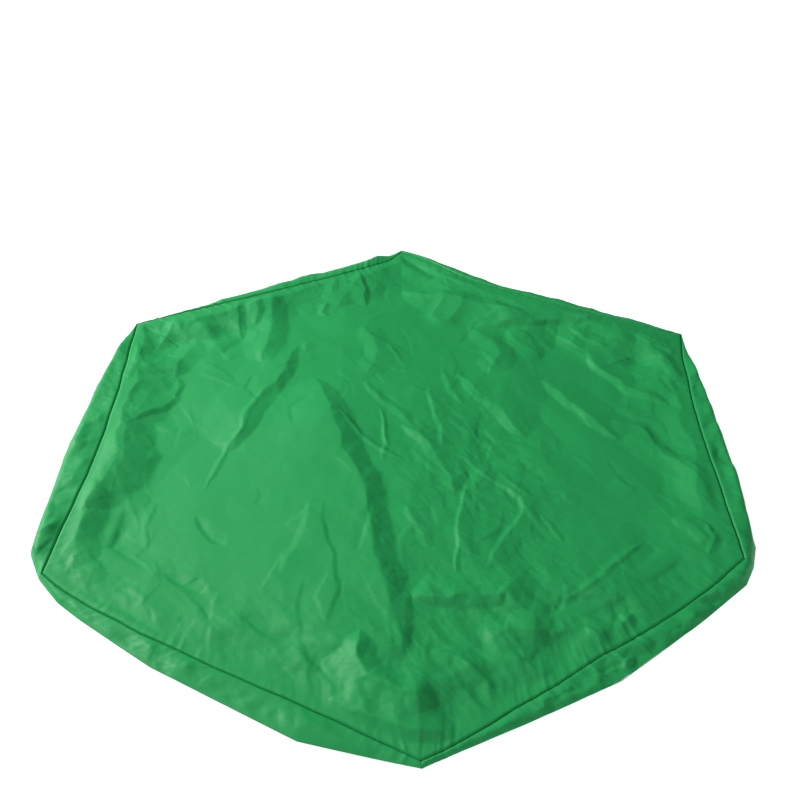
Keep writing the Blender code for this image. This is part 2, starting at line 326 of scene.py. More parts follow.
def along_line(points, wanted):
    """Places on a line of points at the wanted distances from its start."""
    reached = length_so_far(points)
    return np.column_stack([np.interp(wanted, reached, points[:, k]) for k in range(3)])


def smooth_route(points, spacing):
    """Evenly spaced points on a Catmull-Rom curve through the given points."""
    points = np.asarray(points, float)
    padded = np.concatenate(([2 * points[0] - points[1]], points, [2 * points[-1] - points[-2]]))
    t = (np.arange(24) / 24)[:, None]
    fine = [
        (2 * b + (c - a) * t + (2 * a - 5 * b + 4 * c - d) * t**2 + (3 * b - a - 3 * c + d) * t**3) / 2
        for a, b, c, d in zip(padded, padded[1:], padded[2:], padded[3:])
    ]
    fine = np.concatenate(fine + [points[-1:]])
    reached = length_so_far(fine)
    wanted = np.linspace(0, reached[-1], max(3, round(reached[-1] / spacing) + 1))
    return along_line(fine, wanted)


def turned(points, angle):
    """Points turned about the vertical."""
    x, y, z = points.T
    return np.column_stack(
        (x * math.cos(angle) - y * math.sin(angle), x * math.sin(angle) + y * math.cos(angle), z)
    )


def tube_faces(rows, sides, first=0):
    """Faces of a tube with rings of points from number first on, and its two flat ends."""
    faces = []
    for row in range(rows - 1):
        for i in range(sides):
            a, b = first + row * sides + i, first + row * sides + (i + 1) % sides
            faces.append((a, b, b + sides, a + sides))
    faces.append(tuple(first + i for i in reversed(range(sides))))
    faces.append(tuple(first + (rows - 1) * sides + i for i in range(sides)))
    return faces


def cross_directions(ahead):
    """Unit vectors across and up for each direction ahead."""
    ahead = ahead / np.linalg.norm(ahead, axis=1)[:, None]
    across = np.cross((0, 0, 1), ahead)
    across /= np.linalg.norm(across, axis=1)[:, None]
    return across, np.cross(ahead, across)


def braided_tube(path, radius, sides=24, relief=0.07, pitch=0.0036, taper_end=False):
    """A tube along a path with the raised diamonds of a braid, as (points, faces)."""
    across, up = cross_directions(np.gradient(path, axis=0))
    reached = length_so_far(path)
    turn = np.arange(sides) * math.tau / sides
    wave = math.tau * reached[:, None] / pitch
    strands = np.maximum(np.cos(4 * turn + wave), np.cos(4 * turn - wave))
    size = radius * (1 - relief * (1 - strands) / 1.2)
    if taper_end:
        left = np.clip((reached[-1] - reached) / radius, 0.05, 1)
        size *= np.sqrt(left * (2 - left))[:, None]
    grid = path[:, None] + size[..., None] * (
        np.cos(turn)[None, :, None] * across[:, None] + np.sin(turn)[None, :, None] * up[:, None]
    )
    return grid.reshape(-1, 3), tube_faces(len(path), sides)


KNOT_SIZE = 0.00125


def tie_knot(name, node, path):
    """An overhand knot pulled tight on a cord's end, with a short sealed tail."""
    centre = path[-1]
    heading = path[-1] - path[-6]
    angle = math.atan2(heading[1], heading[0])
    t = np.linspace(0.25, math.tau - 0.15, 150)
    coil = np.array((np.sin(t) + 2 * np.sin(2 * t), np.cos(t) - 2 * np.cos(2 * t), -1.25 * np.sin(3 * t)))
    coil = turned(coil.T * KNOT_SIZE, angle)
    tail = np.array(((2, 0, 0), (6, 0, -0.2), (10, 1, -0.8), (14, 3, -1.8))) * MM
    tail = smooth_route(centre + turned(tail, angle), 0.0004)
    tail[:, 2] = np.maximum(tail[:, 2], CORD / 2)
    pulled = 0.47 * CORD  # radius, drawn a little thinner
    tied = join_pieces(
        name,
        [braided_tube(centre + coil, pulled, 20), braided_tube(tail, pulled, 20, taper_end=True)],
        CORD_YARN,
    )
    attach(tied, "cover")
    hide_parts(node)
    return tied


def make_cord_end(side, route):
    """One free end of the drawcord with its knot. Returns its path."""
    path = smooth_route(turned(np.array(route) * MM, FAR_RIGHT), 0.0005)
    cord = join_pieces(f"drawcord_{side}_end_braided", [braided_tube(path, CORD / 2)], CORD_YARN)
    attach(cord, "cover")
    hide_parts(f"drawcord_{side}_end")
    knot = tie_knot(f"drawcord_{side}_knot_tied", f"drawcord_{side}_knot", path)
    return path


def make_cord_in_hem(left_start, right_start):
    """The cord through the hem, from one free end right round to the other."""
    clear = 0.004  # of the free ends
    short = HEM_LINES["skirt_far_right_short"]
    short = short[short[:, 0] < right_start[0] - clear]
    long = HEM_LINES["skirt_far_right_long"]
    long = long[long[:, 0] > left_start[0] + clear]
    lines = [right_start[None], short]
    lines += [HEM_LINES["skirt_" + name] for name in ("far_left", "left", "near_left", "near_right", "right")]
    lines += [long, left_start[None]]
    line = np.concatenate([part[4:-4] if len(part) > 20 else part for part in lines])
    path = smooth_route(line[::2], 0.002)
    for _ in range(6):
        path[1:-1] = (path[:-2] + 2 * path[1:-1] + path[2:]) / 4
    loop = join_pieces("drawcord_in_hem", [braided_tube(path, CORD / 2, 12, 0.05)], CORD_YARN)
    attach(loop, "cover")
    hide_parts("drawcord_loop")


# ---- the cover's lying shape --------------------------------------------------------------------------

# Corners of the seam, anticlockwise from above: name: (x, y, height of the cloth there).
CORNERS = {
    "right_near": (0.5988, -0.307, 0.018),
    "right_far": (0.624, 0.339, 0.034),
    "far": (-0.003, 0.690, 0.034),
    "left_far": (-0.607, 0.384, 0.032),
    "left_near": (-0.6274, -0.340, 0.017),
    "near": (0.024, -0.687, 0.0065),
}
STATIONS = (0, 0.05, 0.1, 0.25, 0.5, 0.75, 0.9, 0.95, 1)
# Each side: its first and last corner, then millimetres at the stations: how far the seam runs outside the
# straight line, how high it is, and how far in the rim's lift ends. Last, the corners of the skirt's outline,
# which runs straight between them: (share of the side, millimetres outside the straight line).
SIDES = {
    "right": (
        "right_near",
        "right_far",
        (0, -1.8, -3.6, -9, -15, -12.7, -8, -3.8, 0),
        (18, 21, 23, 27, 28, 29, 30, 32, 34),
        (200, 170, 140, 105, 100, 140, 105, 110, 150),
        ((0, 17), (0.08, 31.5), (0.33, 35.5), (0.70, 24), (0.92, 9), (1, 6)),
    ),
    "far_right": (
        "right_far",
        "far",
        (0, -6, -10, -20, -28, -30, -6, 0, 0),
        (34, 35, 36, 36, 36, 37, 37, 36, 34),
        (150, 150, 150, 160, 160, 150, 140, 140, 140),
        ((0, 6), (0.1, 20), (0.3, 18), (0.5, 11), (0.60, 1), (0.67, 8), (0.9, 26), (1, 22)),
    ),
    "far_left": (
        "far",
        "left_far",
        (0, -20, -24, -27, -25, -15, -6, -3, 0),
        (34, 33, 34, 36, 37, 36, 34, 33, 32),
        (140, 130, 130, 120, 120, 120, 110, 100, 90),
        ((0, 22), (0.1, 30), (0.4, 38), (0.7, 24), (0.9, 3), (1, 5)),
    ),
    "left": (
        "left_far",
        "left_near",
        (0, -3.2, -5.3, -12.9, -19.2, -15.2, -6.7, -2.9, 0),
        (32, 33, 33, 33, 31, 28, 24, 20, 17),
        (90, 110, 130, 135, 125, 125, 100, 90, 100),
        ((0, 5), (0.12, 23.6), (0.33, 39), (0.60, 47), (0.905, 38), (1, 7)),
    ),
    "near_left": (
        "left_near",
        "near",
        (0, 5, 9.7, 14.5, 13, 5.5, 2.3, 0.9, 0),
        (17, 14, 11.5, 10, 9, 8.5, 7.5, 6.5, 6.5),
        (110, 80, 70, 66, 80, 90, 90, 90, 90),
        ((0, 7), (0.1, 30), (0.18, 40), (0.39, 58.3), (0.735, 58.9), (1, 10)),
    ),
    "near_right": (
        "near",
        "right_near",
        (0, 4, 7, 9.7, 10.8, 15, 8.7, 4, 0),
        (6.5, 6.5, 7, 7.5, 8.5, 10, 13, 15.5, 18),
        (90, 90, 90, 95, 100, 110, 120, 150, 190),
        ((0, 10), (0.1, 20), (0.27, 38.6), (0.5, 61), (0.75, 51), (0.93, 37), (1, 17)),
    ),
}
SIDE_NAMES = list(SIDES)
KINKS = 17  # small kinks of up to 1.5 mm on a side's seam


def curve_through(at, places, values):
    """A smooth curve through values at places, read at the given numbers."""
    places = np.asarray(places, float)
    values = np.asarray(values, float)
    slope = np.gradient(values, places)
    at = np.clip(at, places[0], places[-1])
    cell = np.clip(np.searchsorted(places, at, side="right") - 1, 0, len(places) - 2)
    width = places[cell + 1] - places[cell]
    t = (at - places[cell]) / width
    a, b = values[cell], values[cell + 1]
    p, q = slope[cell] * width, slope[cell + 1] * width
    return a + p * t + (3 * (b - a) - 2 * p - q) * t**2 + (2 * (a - b) + p + q) * t**3


class Side:
    """One side of the seam as it lies: its curve, and the direction that leads out of it."""

    def __init__(self, name):
        start, end, self.out, self.up, self.inner, self.outline = SIDES[name]
        self.name = name
        self.a = np.array(CORNERS[start][:2])
        self.b = np.array(CORNERS[end][:2])
        self.length = float(np.linalg.norm(self.b - self.a))
        self.along = (self.b - self.a) / self.length
        self.normal = np.array((self.along[1], -self.along[0]))

    def join(self, before, after):
        """At a corner, points shift along a line that both sides share."""
        self.start_out = np.linalg.solve(np.array((before.normal, self.normal)), (1, 1))
        self.end_out = np.linalg.solve(np.array((self.normal, after.normal)), (1, 1))

    def outward(self, s):
        return self.start_out * (1 - s[:, None]) + self.end_out * s[:, None]

    def seam(self, s):
        """Places (x, y) and heights along the seam for s from 0 to 1."""
        straight = self.a * (1 - s[:, None]) + self.b * s[:, None]
        return straight + self.bow(s)[:, None] * self.outward(s), curve_through(s, STATIONS, self.up) * MM

    def bow(self, s):
        """How far the seam runs outside its straight line: a smooth bow with small kinks."""
        kinks = np.random.default_rng(300 + SIDE_NAMES.index(self.name)).uniform(-1.5, 1.5, KINKS)
        kinks *= 0.5 if self.name.startswith("far") else 1
        kinks[[0, -1]] = 0
        places = np.linspace(0, 1, KINKS)
        return (curve_through(s, STATIONS, self.out) + np.interp(s, places, kinks)) * MM

    def reach(self, s):
        """How far in from the seam the rim's lift ends."""
        return curve_through(s, STATIONS, self.inner) * MM

    def bulge(self, s):
        """How far the skirt's outline lies outside the seam."""
        at, out = zip(*self.outline)
        return np.maximum(np.interp(s, at, out) * MM - self.bow(s), 4 * MM)


sides = {name: Side(name) for name in SIDES}
for number, name in enumerate(SIDE_NAMES):
    sides[name].join(sides[SIDE_NAMES[number - 1]], sides[SIDE_NAMES[(number + 1) % 6]])

# ---- creases -------------------------------------------------------------------------------------------


def tent(x, crest=0.045, foot=0.07):
    """1 at 0, falling evenly to 0 at 1, with its crest and foot a little rounded."""
    x = np.sqrt(x * x + crest * crest) - crest
    rest = 1 - x
    return (rest + np.sqrt(rest * rest + foot * foot)) / 2 - foot * foot / 4 / np.maximum(1 + x, 1)


def crease(x, y, points, height, left, right):
    """A ridge along a line of points, tapered at its ends. left and right are its widths as the line runs."""
    points = np.asarray(points, float)
    legs = np.diff(points, axis=0)
    lengths = np.linalg.norm(legs, axis=1)
    reached = length_so_far(points)
    wide = max(left, right) * 1.3
    (x_low, y_low), (x_high, y_high) = points.min(axis=0) - wide, points.max(axis=0) + wide
    near = (x > x_low) & (x < x_high) & (y > y_low) & (y < y_high)
    result = np.zeros_like(x)
    if not near.any():
        return result
    px, py = x[near], y[near]
    best = np.full(px.shape, 1e9)
    side = np.zeros_like(px)
    place = np.zeros_like(px)
    for start, leg, length, before in zip(points, legs, lengths, reached):
        dx, dy = px - start[0], py - start[1]
        t = np.clip((dx * leg[0] + dy * leg[1]) / length**2, 0, 1)
        distance = np.hypot(dx - t * leg[0], dy - t * leg[1])
        closer = distance < best
        best = np.where(closer, distance, best)
        side = np.where(closer, leg[0] * dy - leg[1] * dx, side)
        place = np.where(closer, before + t * length, place)
    share = place / reached[-1]
    taper = np.ones_like(px)
    for end in (share, 1 - share):
        taper *= np.sin(np.pi / 2 * np.clip(end * 4, 0, 1)) ** 0.9
    width = np.where(side > 0, left, right) * np.maximum(taper, 0.02) ** 0.7
    result[near] = height * taper * tent(best / width)
    return result


FOLD_SCALE = 1.35  # on every height in FOLDS
# The main folds of the top panel, in millimetres: points (x, y), then height, and width on the line's left
# hand and on its right. A line that runs towards the camera has the cover's right side on its left hand.
FOLDS = [
    # the long ridge down the middle, and the swell on its left
    ([(-190, 200), (-160, 100), (-130, 0), (-85, -120), (-62, -250), (-40, -360), (-15, -450),
      (5, -520)], 11, 42, 240),
    # upper left folds
    ([(-235, 315), (-262, 220), (-298, 120), (-330, 30), (-345, -30)], 5.5, 24, 90),
    ([(-280, 180), (-310, 100), (-338, 20), (-365, -60), (-385, -140)], 1.3, 8, 8),
    ([(-318, 500), (-305, 420), (-300, 360), (-312, 250)], 6.5, 38, 60),
    ([(-385, 480), (-375, 420), (-368, 340)], 3.5, 20, 30),
    ([(-350, 490), (-338, 440), (-335, 390)], 2.5, 12, 20),
    ([(-460, 390), (-435, 340), (-400, 290)], 4.5, 50, 45),
    ([(-470, 340), (-482, 270), (-500, 205)], 4, 32, 50),
    ([(-500, 210), (-478, 170), (-472, 130), (-500, 95), (-556, 45)], 2.5, 11, 40),
    ([(-560, 50), (-545, 0), (-538, -60), (-550, -100), (-515, -150), (-503, -200)], 3.5, 44, 60),
    ([(-604, -120), (-588, -180), (-578, -250), (-575, -330)], 4.5, 40, 26),
    ([(-590, 310), (-582, 240), (-590, 170)], 3, 14, 18),
    ([(-520, 400), (-525, 360), (-540, 300)], 3, 22, 22),
    ([(-100, 585), (-96, 530), (-84, 470)], 3.5, 12, 30),
    ([(-190, 590), (-170, 550), (-165, 500)], 2, 14, 24),
    ([(-186, 475), (-184, 440), (-170, 425)], 2, 10, 12),
    ([(-90, 390), (-65, 330), (-50, 280), (-75, 200)], 3, 34, 34),
    # the long fold inside the near left seam, and soft creases above it
    ([(-605, -352), (-540, -383), (-470, -418), (-410, -455), (-360, -497), (-318, -530)], -3.5, 26, 12),
    ([(-412, -345), (-370, -380), (-335, -415), (-318, -438)], -2.4, 24, 10),
    ([(-268, -440), (-220, -467), (-170, -487), (-130, -520), (-110, -545)], -3, 30, 11),
    ([(-382, -200), (-350, -245), (-318, -282)], -1.6, 20, 8),
    ([(-150, -180), (-142, -250), (-128, -310), (-122, -400), (-128, -460)], 1.6, 9, 60),
    ([(-165, -170), (-185, -260), (-212, -350)], 1.3, 50, 12),
    # folds behind the near corner
    ([(-66, -470), (-78, -520), (-62, -558), (-10, -585), (50, -592)], 9, 40, 30),
    ([(-115, -588), (-55, -624), (20, -640), (95, -652)], 8, 40, 20),
    ([(45, -505), (90, -530), (128, -560), (132, -600)], 5, 30, 20),
    # the far right puff and the crease along it
    ([(0, 520), (80, 497), (160, 470), (230, 435), (290, 402)], 8, 34, 55),
    ([(150, 383), (250, 394), (360, 397), (470, 396), (560, 402)], 4.5, 70, 12),
    ([(0, 672), (35, 630), (68, 585), (130, 590)], -5, 30, 18),
    # streaks on the right half
    ([(155, 385), (205, 335), (215, 285), (182, 210)], 5, 34, 34),
    ([(240, 375), (272, 325), (305, 275)], 3.2, 30, 26),
    ([(120, 215), (165, 145), (205, 85), (250, 15)], 5.2, 60, 19),
    ([(298, 205), (338, 138), (375, 75), (410, 30), (440, -5)], 4.8, 60, 16),
    ([(402, 290), (442, 228), (478, 180), (512, 140), (548, 105)], 4.8, 60, 16),
    ([(328, 385), (365, 342), (402, 298)], 2, 24, 10),
    ([(382, 383), (420, 335), (448, 308)], 2, 20, 9),
    ([(535, 345), (560, 280), (580, 215), (602, 160)], 3.5, 24, 36),
    ([(430, 70), (482, 35), (512, -40), (556, -100), (578, -205)], 5.5, 24, 46),
    ([(0, 45), (34, 0), (66, -50), (96, -145)], 4.4, 40, 17),
    ([(122, -118), (106, -200), (86, -345)], 2, 30, 7),
    ([(100, -45), (150, -88), (192, -120), (223, -150), (226, -200), (190, -262), (138, -335)], 2.2, 30, 9),
    ([(55, 165), (66, 100), (76, 30), (70, -30)], 2.2, 40, 9),
    ([(82, 225), (100, 165), (125, 115)], 1.6, 14, 9),
    ([(-82, 180), (-50, 130), (-18, 100), (20, 45)], 2.2, 18, 12),
    ([(-132, 78), (-90, 10), (-32, -40), (4, -75)], 1.6, 9, 8),
    ([(-46, 95), (-36, 0), (-38, -65)], 1.5, 8, 7),
    ([(2, -185), (22, -240), (45, -285)], 1.6, 14, 10),
    ([(432, -268), (385, -308), (340, -355), (268, -398)], 1.7, 8, 12),
    ([(250, -195), (270, -240), (282, -275)], 1.4, 10, 7),
    # lower right folds
    ([(10, -398), (95, -398), (170, -396), (205, -430)], 7, 60, 18),
    ([(130, -425), (160, -468), (210, -470), (290, -458), (350, -500)], 5.5, 34, 34),
    ([(290, -392), (360, -383), (420, -392), (470, -415)], 4, 40, 20),
    ([(385, -415), (362, -440), (365, -475)], 4.5, 18, 16),
    ([(300, -455), (330, -490), (345, -520)], 2.5, 14, 12),
    ([(500, -210), (530, -240), (550, -280)], 3, 26, 18),
    ([(545, -225), (560, -260), (540, -300)], 2, 10, 8),
]


def lattice_heights(u, v, seed):
    """Random heights between -1 and 1 on a lattice of triangles, with flat facets between them."""
    table = np.random.default_rng(seed).uniform(-1, 1, (97, 89))
    a, b = u - v / math.sqrt(3), 2 * v / math.sqrt(3)
    i, j = np.floor(a).astype(int), np.floor(b).astype(int)
    a, b = a - i, b - j

    def at(di, dj):
        return table[(i + di) % 97, (j + dj) % 89]

    low = at(0, 0) * (1 - a - b) + at(1, 0) * a + at(0, 1) * b
    high = at(1, 1) * (a + b - 1) + at(0, 1) * (1 - a) + at(1, 0) * (1 - b)
    return np.where(a + b > 1, high, low)


def facets(x, y, size, seed, stretch=1.0, heading=0.0):
    """Crumpling: flat facets about this size with sharp edges, drawn out along a heading in degrees."""
    turn = math.radians(heading)
    u = (x * math.cos(turn) + y * math.sin(turn)) / (size * stretch)
    v = (y * math.cos(turn) - x * math.sin(turn)) / size
    u, v = (
        u + 0.38 * lattice_heights(u * 0.8, v * 0.8, seed + 1),
        v + 0.38 * lattice_heights(u * 0.8 + 5.3, v * 0.8, seed + 2),
    )
    return lattice_heights(u, v, seed)


def random_creases(count, low, high, lengths, heights, widths, heading, spread, keep=None):
    """Small creases spread over a box, as rows like FOLDS but in metres. heading is in degrees."""
    rows = []
    while len(rows) < count:
        middle = RNG.uniform(low, high)
        if keep is not None and RNG.random() > keep(*middle):
            continue
        angle = math.radians(heading + RNG.normal(0, spread))
        length = RNG.uniform(*lengths)
        bend = RNG.normal(0, 0.10) * length
        step = np.array((math.cos(angle), math.sin(angle))) * length / 2
        across = np.array((-step[1], step[0])) / (length / 2)
        points = (middle - step, middle + across * bend, middle + step)
        size = RNG.random()
        height = (heights[0] + (heights[1] - heights[0]) * size**2) * RNG.choice((1, 1, -1))
        steep = widths[0] + (widths[1] - widths[0]) * size
        gentle = steep * RNG.uniform(2.0, 6.0)
        rows.append((points, height, *((steep, gentle) if RNG.random() < 0.5 else (gentle, steep))))
    return rows


def crumpled(x, y):
    """How much fine crumpling there is at a place on the top panel, from about 0 to 1.25."""
    centre = np.exp(-(((x - 0.14) / 0.17) ** 2) - ((y + 0.10) / 0.26) ** 2)
    rim = np.clip((np.hypot(x, y) - 0.40) / 0.2, 0, 1)
    smooth_left = np.exp(-(((x + 0.30) / 0.17) ** 2) - ((y + 0.02) / 0.35) ** 2)
    smooth_right = np.exp(-(((x - 0.40) / 0.12) ** 2) - ((y + 0.05) / 0.20) ** 2)
    rim = rim * (1 - 0.5 * np.clip((y - x / 2) / 0.35, 0, 1))
    lower = np.exp(-(((x - 0.25) / 0.32) ** 2) - ((y + 0.48) / 0.15) ** 2)
    total = np.minimum(1.25, 0.30 + 0.75 * centre + 0.55 * rim + 0.8 * lower)
    return total * (1 - 0.8 * smooth_left) * (1 - 0.6 * smooth_right)


WAVES = 9


def waves(x, y, wavelength, seed):
    """Low random swells, between -1 and 1, with about this wavelength."""
    rng = np.random.default_rng(seed)
    total = np.zeros_like(x)
    for _ in range(WAVES):
        angle = rng.uniform(0, math.tau)
        k = math.tau / (wavelength * rng.uniform(0.7, 1.6))
        total += np.sin(k * (x * math.cos(angle) + y * math.sin(angle)) + rng.uniform(0, math.tau))
    return total / WAVES


# ---- the top panel ---------------------------------------------------------------------------------------

RINGS = 300  # of the panel's lattice
EDGE = 0.008  # the lattice ends this far inside the seam
EDGE_ROWS = (6.0, 4.4, 3.1, 2.1, 1.3, 0.8, 0.5)  # finer rows from there to the seam, in millimetres
GROOVE = 0.0034  # how deep the seam lies between the two cloths
ALLOWANCE = 0.010  # cloth turned down inside the seam
SEAM_GAP = 0.0004  # from the seam's line to the panel's turned-down edge


def allowance_scale(seam_height):
    """How much of its allowance a seam this high has room for below it."""
    return np.clip((seam_height - GROOVE - 0.0022) / (ALLOWANCE - GROOVE), 0.02, 1)


def groove(distance):
    """How far the cloth drops into the seam at this distance from it."""
    return GROOVE * np.exp(-((distance / 0.0017) ** 1.4))


def pucker(name, s, distance):
    """The seam's small gathers, at a distance from it."""
    side = sides[name]
    strength, slant, depth = PUCKERS[name]
    seed = SIDE_NAMES.index(name)
    rng = np.random.default_rng(40 + seed)
    along = s * side.length + slant * distance
    ripple = np.zeros_like(along)
    for pitch in (0.031, 0.019, 0.013):
        bend = 0.8 * np.sin(math.tau * along / rng.uniform(0.07, 0.16) + rng.uniform(0, math.tau))
        wave = np.abs(np.sin(math.pi * along / pitch + bend + rng.uniform(0, math.tau)))
        ripple += (0.64 - wave**0.8) * (pitch / 0.02)
    uneven = 0.5 + 0.5 * np.sin(s * side.length * 23 + seed) * np.sin(s * side.length * 9.1 + 2 * seed)
    return strength * 0.5 * MM * ripple * uneven * np.exp(-((distance / depth) ** 2))


# Each side's strength of puckers, their slant, and how far in they reach.
PUCKERS = {
    "right": (1.6, -0.4, 0.018),
    "far_right": (0.9, 0.3, 0.018),
    "far_left": (2.2, 0.2, 0.026),
    "left": (1.0, 0.3, 0.016),
    "near_left": (1.5, 0.5, 0.020),
    "near_right": (2.6, -0.3, 0.030),
}


def middle_height(x, y):
    """The panel away from its rim: a long low swell, and a puff over the cord lock."""
    across = x + 0.11 + 0.22 * np.clip(y, -0.4, 0.1)
    swell = np.where(across < 0, 1 + across / 0.42, 1 - across / 0.56)
    swell = (np.sqrt(swell**2 + 0.02) + swell) / 2
    z = 0.010 + 0.013 * swell
    reach = distance_to_line(x, y, LOCK_PUFF)
    puff = 0.0235 - 0.30 * np.maximum(reach - 0.024, 0)
    cords = 0.0125 - 0.25 * np.maximum(distance_to_line(x, y, CORD_PUFF) - 0.020, 0)
    for held in (puff, cords):
        z = (z + held + np.sqrt((z - held) ** 2 + 0.003**2)) / 2
    return z


def distance_to_line(x, y, points):
    best = np.full_like(x, 9.0)
    for (ax, ay), (bx, by) in zip(points, points[1:]):
        length2 = (bx - ax) ** 2 + (by - ay) ** 2
        t = np.clip(((x - ax) * (bx - ax) + (y - ay) * (by - ay)) / length2, 0, 1)
        best = np.minimum(best, np.hypot(x - ax - t * (bx - ax), y - ay - t * (by - ay)))
    return best


# Lines (x, y) that the panel is held up along, by the cord lock and by the cords.
LOCK_PUFF = ((0.120, 0.500), (0.118, 0.474), (0.094, 0.434))
CORD_PUFF = ((0.215, 0.500), (0.120, 0.474), (0.066, 0.366))


# The panel's crumpling in four sizes of facet: how high in millimetres, how large, seed, how far drawn out,
# heading, and the power of crumpled() that it goes by.
PANEL_CRUMPLES = (
    (3.2, 0.045, 11, 1.7, -58, 1),
    (1.5, 0.018, 21, 1.8, -50, 2),
    (0.35, 0.008, 24, 1.5, -40, 1),
    (3.4, 0.11, 31, 1.5, -65, 0),
)
PANEL_CREASES = 420  # fine ones


def panel_height(x, y, rim_height, reach, distance):
    """The top panel's height at places that lie this far inside a seam of this height."""
    wander = 0.030 * facets(x, y, 0.085, 51, 1.2, 20) + 0.011 * facets(x, y, 0.032, 54, 1.3, -40)
    moved = distance + np.minimum(1, distance / 0.04) * wander
    start = 0.26 * reach
    share = (moved - start) / (reach - start)
    lift = tent(np.maximum(share, 0), 0.03, 0.10) * np.where(share > 1.5, 0, 1)
    inner = middle_height(x, y)
    z = inner + (rim_height - inner) * lift
    z = z + 1.0 * MM * waves(x, y, 0.30, 3) + 0.4 * MM * waves(x, y, 0.09, 4)
    inside = 1 - np.exp(-((distance / 0.022) ** 2))
    xw = x + 0.0075 * facets(x, y, 0.055, 61) + 0.003 * facets(x, y, 0.024, 71)
    yw = y + 0.0075 * facets(x, y, 0.055, 81) + 0.003 * facets(x, y, 0.024, 91)
    folds = np.zeros_like(x)
    for points, height, left, right in FOLDS:
        folds += crease(xw, yw, np.array(points) * MM, FOLD_SCALE * height * MM, left * MM, right * MM)
    amount = crumpled(x, y)
    for height, size, seed, stretch, heading, power in PANEL_CRUMPLES:
        folds += amount**power * height * MM * facets(x, y, size, seed, stretch, heading)
    corner = np.array((0.60, 0.62))
    lengths = 0.03, 0.12
    heights = 0.4 * MM, 1.5 * MM
    widths = 0.0035, 0.008
    fine = random_creases(PANEL_CREASES, -corner, corner, lengths, heights, widths, -58, 30, crumpled)
    for points, height, left, right in fine:
        folds += crease(x, y, points, height, left, right)
    z = z + folds * inside
    floor = 0.004 + 0.0085 * np.exp(-(((distance - 0.085) / 0.024) ** 4))  # the hem lies under there
    return (z + floor + np.sqrt((z - floor) ** 2 + 0.002**2)) / 2


def mesh_object(name, points, faces, material, inner=None, thickness=0.35 * MM):
    """A smooth cloth mesh. With an inner material it gets a thickness, and that material on its back."""
    mesh = bpy.data.meshes.new(name)
    mesh.from_pydata(points.tolist(), [], faces)
    mesh.materials.append(material)
    mesh.shade_smooth()
    made = bpy.data.objects.new(name, mesh)
    bpy.context.scene.collection.objects.link(made)
    if inner:
        mesh.materials.append(inner)
        solid = made.modifiers.new("cloth", "SOLIDIFY")
        solid.thickness = thickness
        solid.offset = -1
        solid.material_offset = 1
        solid.material_offset_rim = 0
    return made


def make_top_panel():
    centre = np.mean([corner[:2] for corner in CORNERS.values()], axis=0)
    # For each point: its place, its side's number, its share of that side, and the seam's height, the rim's
    # reach and the seam's distance there. The first point is the middle one.
    columns = [[centre[None]], [[-1]], [[0.0]], [[0.0]], [[0.1]], [[1.0]]]
    for ring in range(1, RINGS + 1):
        share = ring / RINGS
        s = np.arange(ring) / ring
        for number, name in enumerate(SIDE_NAMES):
            side = sides[name]
            edge, up = side.seam(s)
            edge = edge - EDGE * side.outward(s)
            straight = side.a * (1 - s[:, None]) + side.b * s[:, None]
            straight = straight - EDGE * side.outward(s)
            path = centre + share * (straight - centre) + share**4 * (edge - straight)
            far_in = EDGE + (1 - share) * abs(np.dot(side.a - centre, side.normal))
            values = path, np.full(ring, number), s, up, side.reach(s), np.full(ring, far_in)
            for column, value in zip(columns, values):
                column.append(value)
    xy, owner, along, heights, reaches, distance = map(np.concatenate, columns)
    z = panel_height(xy[:, 0], xy[:, 1], heights, reaches, distance)
    for number, name in enumerate(SIDE_NAMES):
        mine = (owner == number) & (distance < 0.05)
        z[mine] += pucker(name, along[mine], distance[mine])
    points = [np.column_stack((xy, z))]

    # The edge rows: the height that the lattice ended with eases to the seam's, and drops into the groove.
    last = points[0][-6 * RINGS :, 2]
    rows = [(d * MM, 0.0) for d in EDGE_ROWS] + [(SEAM_GAP, -0.0062), (SEAM_GAP, -ALLOWANCE)]
    s = np.arange(RINGS) / RINGS
    for distance_in, drop in rows:
        row = []
        for number, name in enumerate(SIDE_NAMES):
            side = sides[name]
            edge, up = side.seam(s)
            mine = edge - distance_in * side.outward(s)
            held = last[number * RINGS : (number + 1) * RINGS]
            ease = distance_in / EDGE
            height = up * (1 - ease) + held * ease
            height = height + pucker(name, s, np.full(RINGS, distance_in)) * (1 - ease)
            if drop:
                height = height - GROOVE + (drop + GROOVE) * allowance_scale(up)
            else:
                height = height - groove(distance_in)
            row.append(np.column_stack((mine, height)))
        points.append(np.concatenate(row))
    points = np.concatenate(points)

    faces = []
    start = 1
    for ring in range(1, RINGS + 1):
        inner_start, inner_count = start - 6 * (ring - 1), 6 * (ring - 1)
        for k in range(6):
            for i in range(ring):
                a = start + k * ring + i
                b = start + (k * ring + i + 1) % (6 * ring)
                if ring == 1:
                    faces.append((a, b, 0))
                    continue
                beside = k * (ring - 1) + i
                below = inner_start + beside % inner_count
                faces.append((a, b, below))
                if i < ring - 1:
                    faces.append((b, inner_start + (beside + 1) % inner_count, below))
        start += 6 * ring
    border = 6 * RINGS
    first = start - border
    for row in range(len(rows)):
        low, high = first + row * border, first + (row + 1) * border
        for i in range(border):
            j = (i + 1) % border
            faces.append((high + i, high + j, low + j, low + i))
    panel = mesh_object("top_panel_cloth", points, faces, GREEN, SILVER)
    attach(panel, "cover")
    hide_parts("top_panel")
    return panel


# ---- the skirt --------------------------------------------------------------------------------------------

